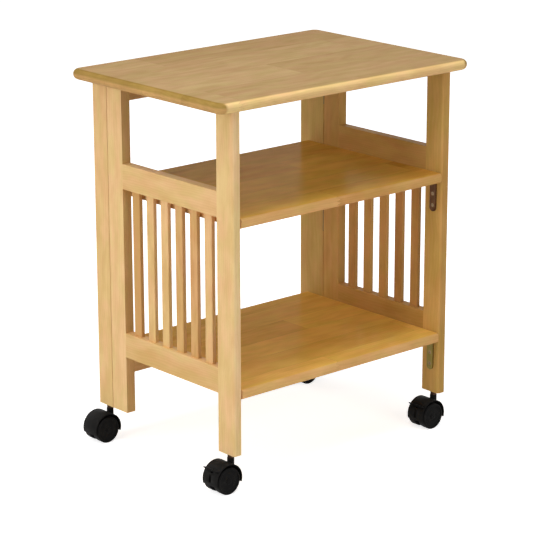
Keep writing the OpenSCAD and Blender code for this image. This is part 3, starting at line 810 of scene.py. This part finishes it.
@dataclass
class SideFrame:
    """One slatted side: two stiles, two rails and its slats.

    Attributes:
        side: Which side it is.
        seed: What sets its boards' own figures.
        slat_count: How many slats it has.
        light: The palest wood of its stiles and rails.
        dark: Their darkest wood.
        slat_light: The palest wood of its slats.
        slat_dark: Their darkest wood.
        slat_width: Width of a slat.
        slat_tone: How much the slats' tones differ.
        front_edge: Tint of the front stile's narrow faces: painted light where above one, painted
            shade where below one.
        back_edge: Tint of the back stile's narrow faces: painted shade.
        front_face: Tint of the front stile's broad faces: painted light where above one.
    """

    side: Side
    seed: float
    slat_count: int
    light: Colour = Beech.light
    dark: Colour = Beech.dark
    slat_light: Colour = (0.90, 0.600, 0.294)
    slat_dark: Colour = (0.65, 0.353, 0.136)
    slat_width: float = 20 * MM
    slat_tone: float = 1.5
    front_edge: Colour = (1.06, 1.12, 1.20)
    back_edge: Colour = (0.77, 0.71, 0.60)
    front_face: Colour = WHITE

    def board(self, part: str, grain: Grain, seed: float, **values: Colour) -> None:
        """Dresses one board of the side.

        Args:
            part: The board's name within the side.
            grain: How its grain runs.
            seed: What sets this board's own figure.
            values: Changes to the wood's values.
        """
        name = f"{self.side.value}_{part}"
        dress([name], Beech(f"{name}_beech", grain, light=self.light, dark=self.dark,
                            seed=self.seed + seed, **values))

    def slats(self) -> None:
        """Dresses the slats, each with its own tone."""
        name = f"{self.side.value}_slats"
        low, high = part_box(name)
        pitch = (high.y - low.y - self.slat_width) / (self.slat_count - 1)
        dress([name], Beech(
            f"{name}_beech", Grain.UPRIGHT, seed=self.seed + 9.0, light=self.slat_light,
            dark=self.slat_dark, stave=pitch, stave_start=low.y + self.slat_width / 2 - pitch / 2,
            stave_tone=self.slat_tone, glue_line=0.0))

    def build(self) -> None:
        """Dresses the side's boards and slats."""
        # The stiles' tints paint light and shade on their faces
        self.board("front_stile", Grain.UPRIGHT, seed=1.0, side_tint=self.front_edge,
                   face_tint=self.front_face)
        self.board("back_stile", Grain.UPRIGHT, seed=2.0, side_tint=self.back_edge)
        self.board("middle_rail", Grain.SIDE_RAIL, seed=3.0)
        self.board("bottom_rail", Grain.SIDE_RAIL, seed=4.0)
        self.slats()


@dataclass
class BackFrame:
    """The two posts and two rails at the back, and what joins the frame."""

    def build(self) -> None:
        """Dresses the posts, the rails and the hidden dowels."""
        for seed, side in enumerate(Side):
            name = f"{side.value}_back_post"
            # The right post's darker tones are painted shade
            shaded_tones = {} if side is Side.LEFT else {"light": SHADED_POST_LIGHT, "dark": SHADED_POST_DARK}
            dress([name], Beech(f"{name}_beech", Grain.UPRIGHT, seed=31.0 + seed, **shaded_tones))
        for seed, level in enumerate(("top", "bottom")):
            name = f"back_{level}_rail"
            dress([name], Beech(f"{name}_beech", Grain.BACK_RAIL, seed=41.0 + seed))
        dress(["frame_dowels"], Beech("raw_dowel_beech", Grain.BACK_RAIL, gloss=0.6))


@dataclass
class Shelves:
    """The two shelves with the pins and washers that they turn on.

    Attributes:
        stave: Width of their staves.
        offset: How far the bottom shelf's glue lines lie from the middle one's.
    """

    stave: float = 71 * MM
    offset: float = 12 * MM

    def build(self) -> None:
        """Dresses the shelves, their pins and washers."""
        # Each shelf's broad faces are tinted deeper and more orange: partly the wood's own colour,
        # partly painted shade, deeper on the middle shelf under the top
        tints_and_shading = {"middle": (0.99, 0.960, 0.490), "bottom": (1.05, 1.080, 0.640)}
        for seed, (level, tint_and_shading) in enumerate(tints_and_shading.items()):
            dress([f"{level}_shelf"], Beech(
                f"{level}_shelf_beech", Grain.FLAT, light=(0.86, 0.524, 0.216),
                # The end grain is painted as pale as the face wood: painted light on the shaded ends
                # seen beside the legs
                dark=(0.64, 0.335, 0.110), end=(0.84, 0.520, 0.240),
                end_low=(0.84, 0.520, 0.240), face_tint=tint_and_shading,
                seed=51.0 + 7.0 * seed, stave=self.stave, stave_start=-self.offset * seed,
                joint_every=STAVE_LENGTH, joint_start=80 * MM, gloss=0.22, sheen_level=0.006))
        dress(["shelf_pivot_pins"], ZINC)
        dress(["shelf_washers"], WASHER_NYLON)


@dataclass
class SideHinges:
    """The butt hinges let into the seams between sides and posts."""

    def build(self) -> None:
        """Dresses the leaves, pins and screws."""
        for side in Side:
            dress([f"{side.value}_hinge_post_leaves", f"{side.value}_hinge_frame_leaves",
                   f"{side.value}_hinge_pins"], HINGE_BRASS)
        dress(["side_hinge_screws"], HINGE_BRASS)


@dataclass
class ShelfBraces:
    """The pressed steel braces under the shelves' front corners.

    Attributes:
        edge: How wide their rounded edges are.
    """

    edge: float = 0.5 * MM

    def build(self) -> None:
        """Softens the braces' cut edges and dresses them with their screws."""
        for level, finish in (("middle", BRONZED), ("bottom", BRASSED)):
            node = f"{level}_shelf_braces"
            piece = softened(node, f"{level}_shelf_braces_pressed", self.edge)
            paint(piece, finish)
            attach(piece, "cart_frame")
            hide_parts(node)
        dress(["brace_screws"], SCREW_BRASS)


@dataclass
class Caster:
    """One twin-wheel caster: hood, stem, axle, wheels, and a brake at the front.

    Attributes:
        side: Which side it is on.
        row: Whether it is a front or a back one.
        edge: How wide the rounded edges of its mouldings are.
    """

    side: Side
    row: Row
    edge: float = 0.4 * MM

    @property
    def name(self) -> str:
        """Gives the caster's name, such as front_left."""
        return f"{self.row.value}_{self.side.value}"

    def wheels(self, pattern: bpy.types.Object) -> None:
        """Puts a finely turned wheel in place of each plain one.

        Args:
            pattern: A wheel whose inner face lies at y = 0 and looks along -Y.
        """
        for end in ("front", "rear"):
            node = f"{self.name}_{end}_wheel"
            low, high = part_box(node)
            middle = (low + high) / 2
            # The two wheels' inner faces look at each other, so one is turned round
            inner = high.y if end == "front" else low.y
            turn = Matrix.Rotation(math.pi if end == "front" else 0.0, 4, "Z")
            place = Matrix.Translation((middle.x, inner, middle.z))
            wheel = placed_copy(pattern, f"{node}_turned", place @ turn)
            paint(wheel, TREAD_NYLON)
            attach(wheel, node)
            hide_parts(node)

    def build(self, pattern: bpy.types.Object) -> None:
        """Dresses the caster and adds its fine pieces.

        Args:
            pattern: The wheel to copy.
        """
        hood = softened(f"{self.name}_hood", f"{self.name}_hood_moulded", self.edge)
        paint(hood, HOOD_NYLON)
        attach(hood, f"{self.name}_caster")
        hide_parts(f"{self.name}_hood")
        dress([f"{self.name}_stem"], DARK_STEM)
        dress([f"{self.name}_axle"], ZINC)
        self.wheels(pattern)
        if self.row is Row.FRONT:
            node = f"{self.name}_brake_lever"
            lever = softened(node, f"{node}_moulded", self.edge)
            paint(lever, HOOD_NYLON)
            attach(lever, f"{self.name}_brake")
            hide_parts(node)


@dataclass
class WheelPattern:
    """Outline of one caster wheel, in metres, from its inner to its outer face.

    Attributes:
        radius: Radius of the tread.
        width: Width of the wheel.
        bore: Radius of the axle's bore.
        bore_depth: Depth of the bore from the inner face.
        edge: Radius of the tread's rounded edges.
        groove: Depth of the tread's grooves, and half their width.
        groove_shares: Where the grooves lie, as shares of the width.
        rim: Width of the rim round the dished outer face.
        dish: Depth of the dish.
        step: How deep the dish's raised ring lies, as a share of the dish's depth.
        cap: Radius of the cap in the middle.
        cap_edge: Width of the cap's bevelled edge.
        dimple: Radius of the dimple in the cap.
        dimple_depth: Depth of the dimple.
        ramp: Width of the slope round the ring.
        lip: Width of the narrow bevels.
        draft: How much the moulded walls lean.
        arc_steps: How many faces make up a rounded edge.
    """

    radius: float = 25 * MM
    width: float = 16 * MM
    bore: float = 3.06 * MM
    bore_depth: float = 12 * MM
    edge: float = 2.2 * MM
    groove: float = 0.5 * MM
    groove_shares: tuple[float, float] = (0.34, 0.66)
    rim: float = 4.2 * MM
    dish: float = 1.2 * MM
    step: float = 0.75
    cap: float = 6.2 * MM
    cap_edge: float = 1.0 * MM
    dimple: float = 1.6 * MM
    dimple_depth: float = 0.6 * MM
    ramp: float = 0.5 * MM
    lip: float = 0.3 * MM
    draft: float = 0.1 * MM
    arc_steps: int = 5

    def arc(self, r: float, y: float, size: float, start: float) -> Outline:
        """Gives a quarter arc's points.

        Args:
            r: Radius of the arc's centre from the axis.
            y: Place of the arc's centre along the axis.
            size: The arc's own radius.
            start: Where the arc starts, in degrees from the radial direction.

        Returns:
            Points of (radius, place), going from start by 90 degrees.
        """
        turns = [math.radians(start + 90.0 * i / self.arc_steps) for i in range(self.arc_steps + 1)]
        return [(r + size * math.cos(t), y + size * math.sin(t)) for t in turns]

    def tread(self) -> Outline:
        """Gives the tread's grooves, each a shallow V.

        Returns:
            Points of (radius, place), from the inner to the outer groove.
        """
        points = []
        for share in self.groove_shares:
            place = self.width * share
            points += [(self.radius, place - self.groove), (self.radius - self.groove, place),
                       (self.radius, place + self.groove)]
        return points

    def face(self) -> Outline:
        """Gives the dished outer face, from the rim to the dimple in the cap.

        Returns:
            Points of (radius, place), going inwards to the axis.
        """
        outer = self.width
        floor = outer - self.dish
        ring = outer - self.step * self.dish
        dish_r = self.radius - self.rim
        ring_r = (dish_r + self.cap) / 2
        return [
            (dish_r + 2 * self.lip, outer), (dish_r + self.draft, outer - self.lip),
            (dish_r, floor), (ring_r + self.ramp, floor), (ring_r, ring),
            (self.cap + 3 * self.lip, ring), (self.cap + 2 * self.lip, floor),
            (self.cap + self.draft, floor), (self.cap - self.lip, outer - self.lip),
            (self.cap - self.cap_edge, outer), (self.dimple, outer),
            (self.dimple - self.dimple_depth, outer - self.dimple_depth + self.draft),
            (0.0, outer - self.dimple_depth)]

    def outline(self) -> Outline:
        """Gives the whole outline, bore first and cap last.

        Returns:
            Points of (radius, place), from axis to axis.
        """
        shoulder = self.radius - self.edge
        return [
            (0.0, self.bore_depth), (self.bore, self.bore_depth), (self.bore, 0.0),
            *self.arc(shoulder, self.edge, self.edge, -90.0),
            *self.tread(),
            *self.arc(shoulder, self.width - self.edge, self.edge, 0.0),
            *self.face()]

    def build(self) -> bpy.types.Object:
        """Turns the pattern wheel.

        Returns:
            The wheel, its inner face at y = 0.
        """
        wheel = lathe("wheel_pattern", self.outline())
        smooth(wheel, angle=28.0)
        return wheel


@dataclass
class Casters:
    """All four casters and the sockets in the legs.

    Attributes:
        pattern: The wheel that all eight follow.
    """

    pattern: WheelPattern = field(default_factory=WheelPattern)

    def build(self) -> None:
        """Builds the casters from one wheel pattern, then removes the pattern."""
        wheel = self.pattern.build()
        for row in Row:
            for side in Side:
                Caster(side, row).build(wheel)
        bpy.data.objects.remove(wheel)
        dress(["caster_sockets"], HOOD_NYLON)


@dataclass
class Lamp:
    """A square soft lamp that looks at the cart.

    Attributes:
        name: The lamp's name.
        place: Where it hangs, in metres.
        size: Its side, in metres.
        power: Its power, in watts.
        aim: What it looks at, in metres.
    """

    name: str
    place: Place
    size: float
    power: float
    aim: Place = (0.0, 0.0, 0.38)

    def build(self) -> None:
        """Adds the lamp."""
        bpy.ops.object.light_add(type="AREA", location=self.place)
        lamp = bpy.context.object
        lamp.name = self.name
        lamp.data.size = self.size
        lamp.data.energy = self.power
        toward = Vector(self.aim) - Vector(self.place)
        lamp.rotation_euler = toward.to_track_quat("-Z", "Y").to_euler()


@dataclass
class Studio:
    """The floor, the lamps, the surroundings and the camera.

    Attributes:
        floor_size: Side of the floor, in metres.
        floor_grey: How pale the floor is painted.
        near_glow: How brightly the floor glows to the camera near the cart.
        glow_from: Where the glow starts to grow, in metres from the cart.
        glow_to: Where the floor is all white.
        ambient: Strength of the light from all round.
        camera_place: Where the camera stands, in metres.
        camera_yaw: How far it is turned about the upright, in degrees.
        camera_pitch: How far it looks up, in degrees.
        camera_roll: How far it is tilted sideways, in degrees.
        focal_pixels: Focal length in the picture's pixels.
        picture_pixels: Width of the picture.
        sensor: Width of the sensor, in millimetres.
        far_clip: How far the camera sees, in metres.
    """

    floor_size: float = 30.0
    floor_grey: float = 0.80
    near_glow: float = 0.76
    glow_from: float = 0.5
    glow_to: float = 1.9
    ambient: float = 0.04
    camera_place: Place = (-2.7228, -3.0985, 1.5226)
    camera_yaw: float = -41.25
    camera_pitch: float = -16.28
    camera_roll: float = 0.12
    focal_pixels: float = 2299.2
    picture_pixels: float = 540.0
    sensor: float = 36.0
    far_clip: float = 100.0

    def seen(self, graph: Graph) -> Socket:
        """Tells rays that show the surroundings from rays that light the cart.

        Args:
            graph: The graph of the floor or the world.

        Returns:
            1 for a ray seen directly, in a reflection or through something, else 0.
        """
        paths = graph.node("ShaderNodeLightPath", {}).outputs
        shown = graph.math("MAXIMUM", paths["Is Camera Ray"], paths["Is Glossy Ray"])
        return graph.math("MAXIMUM", shown, paths["Is Transmission Ray"])

    def floor(self) -> None:
        """Lays a pale floor that shows white to the camera and keeps the shadow."""
        bpy.ops.mesh.primitive_plane_add(size=self.floor_size, location=(0, 0, 0))
        floor = bpy.context.object
        floor.name = "floor"
        material, graph = new_graph("floor_white")
        place = graph.node("ShaderNodeTexCoord", {}).outputs["Object"]
        far = graph.steps(graph.length(place), self.glow_from, self.glow_to)
        strength = graph.math("MULTIPLY", self.seen(graph), graph.blend(far, self.near_glow, 1.0))
        grey = (self.floor_grey, self.floor_grey, self.floor_grey, 1.0)
        coat = graph.node("ShaderNodeBsdfDiffuse", {"Color": grey})
        glow = graph.node("ShaderNodeEmission", {"Color": (*WHITE, 1.0), "Strength": strength})
        both = graph.node("ShaderNodeAddShader", {"0": coat.outputs[0], "1": glow.outputs[0]})
        graph.node("ShaderNodeOutputMaterial", {"Surface": both.outputs[0]})
        floor.data.materials.append(material)

    def surroundings(self) -> None:
        """Lights from all round, and shows white behind the cart."""
        world = bpy.data.worlds.new("studio")
        bpy.context.scene.world = world
        world.use_nodes = True
        graph = Graph(world.node_tree)
        strength = graph.blend(self.seen(graph), self.ambient, 1.0)
        sky = graph.node("ShaderNodeBackground", {"Color": (*WHITE, 1.0), "Strength": strength})
        graph.node("ShaderNodeOutputWorld", {"Surface": sky.outputs[0]})

    def lamps(self) -> None:
        """Adds soft lamps on the left, ahead and above, and fills on the right and behind."""
        Lamp("left_lamp", (-2.75, 0.3, 2.1), size=2.6, power=21.0).build()
        Lamp("low_left_lamp", (-3.0, 0.0, 1.0), size=1.8, power=24.5).build()
        Lamp("front_lamp", (-0.2, -3.1, 1.3), size=1.8, power=26.5).build()
        Lamp("top_lamp", (-0.5, -0.3, 3.2), size=2.0, power=68.0).build()
        Lamp("right_fill", (3.0, -0.8, 1.4), size=2.2, power=20.0).build()
        Lamp("back_fill", (-0.9, 3.0, 1.4), size=2.2, power=20.0).build()

    def camera(self) -> None:
        """Puts the camera where the photograph was taken from."""
        data = bpy.data.cameras.new("camera")
        data.sensor_width = self.sensor
        data.lens = self.focal_pixels * self.sensor / self.picture_pixels
        data.clip_end = self.far_clip
        camera = bpy.data.objects.new("camera", data)
        bpy.context.scene.collection.objects.link(camera)
        turn = (Matrix.Rotation(math.radians(self.camera_yaw), 4, "Z")
                @ Matrix.Rotation(math.radians(self.camera_pitch), 4, "X")
                @ Matrix.Rotation(math.radians(self.camera_roll), 4, "Y")
                @ Matrix.Rotation(math.radians(90.0), 4, "X"))
        camera.matrix_world = Matrix.Translation(self.camera_place) @ turn
        bpy.context.scene.camera = camera

    def build(self) -> None:
        """Sets up the whole studio."""
        bpy.context.scene.view_settings.view_transform = "Standard"
        self.camera()
        self.floor()
        self.surroundings()
        self.lamps()


def main() -> None:
    """Builds the studio, then dresses the cart from top to bottom."""
    logging.basicConfig(level=logging.INFO, format="%(name)s: %(message)s")
    assemblies: list[tuple[str, Callable[[], None]]] = [
        ("studio", Studio().build),
        ("top board", TopBoard().build),
        ("left side", SideFrame(Side.LEFT, seed=11.0, slat_count=6).build),
        # The right side's darker tones are painted shade; its stile tints paint shade on the narrow
        # faces and light on the broad ones
        ("right side", SideFrame(
            Side.RIGHT, seed=21.0, slat_count=5, light=SHADED_RIGHT_LIGHT, dark=SHADED_RIGHT_DARK,
            slat_light=SHADED_RIGHT_SLAT_LIGHT, slat_dark=SHADED_RIGHT_SLAT_DARK, front_edge=(0.88, 0.87, 0.80),
            back_edge=(0.90, 0.86, 0.80), front_face=(1.09, 1.18, 1.13)).build),
        ("back frame", BackFrame().build),
        ("shelves", Shelves().build),
        ("side hinges", SideHinges().build),
        ("shelf braces", ShelfBraces().build),
        ("casters", Casters().build),
    ]
    for label, build in assemblies:
        build()
        log.info("%s done", label)


if __name__ == "__main__":
    main()
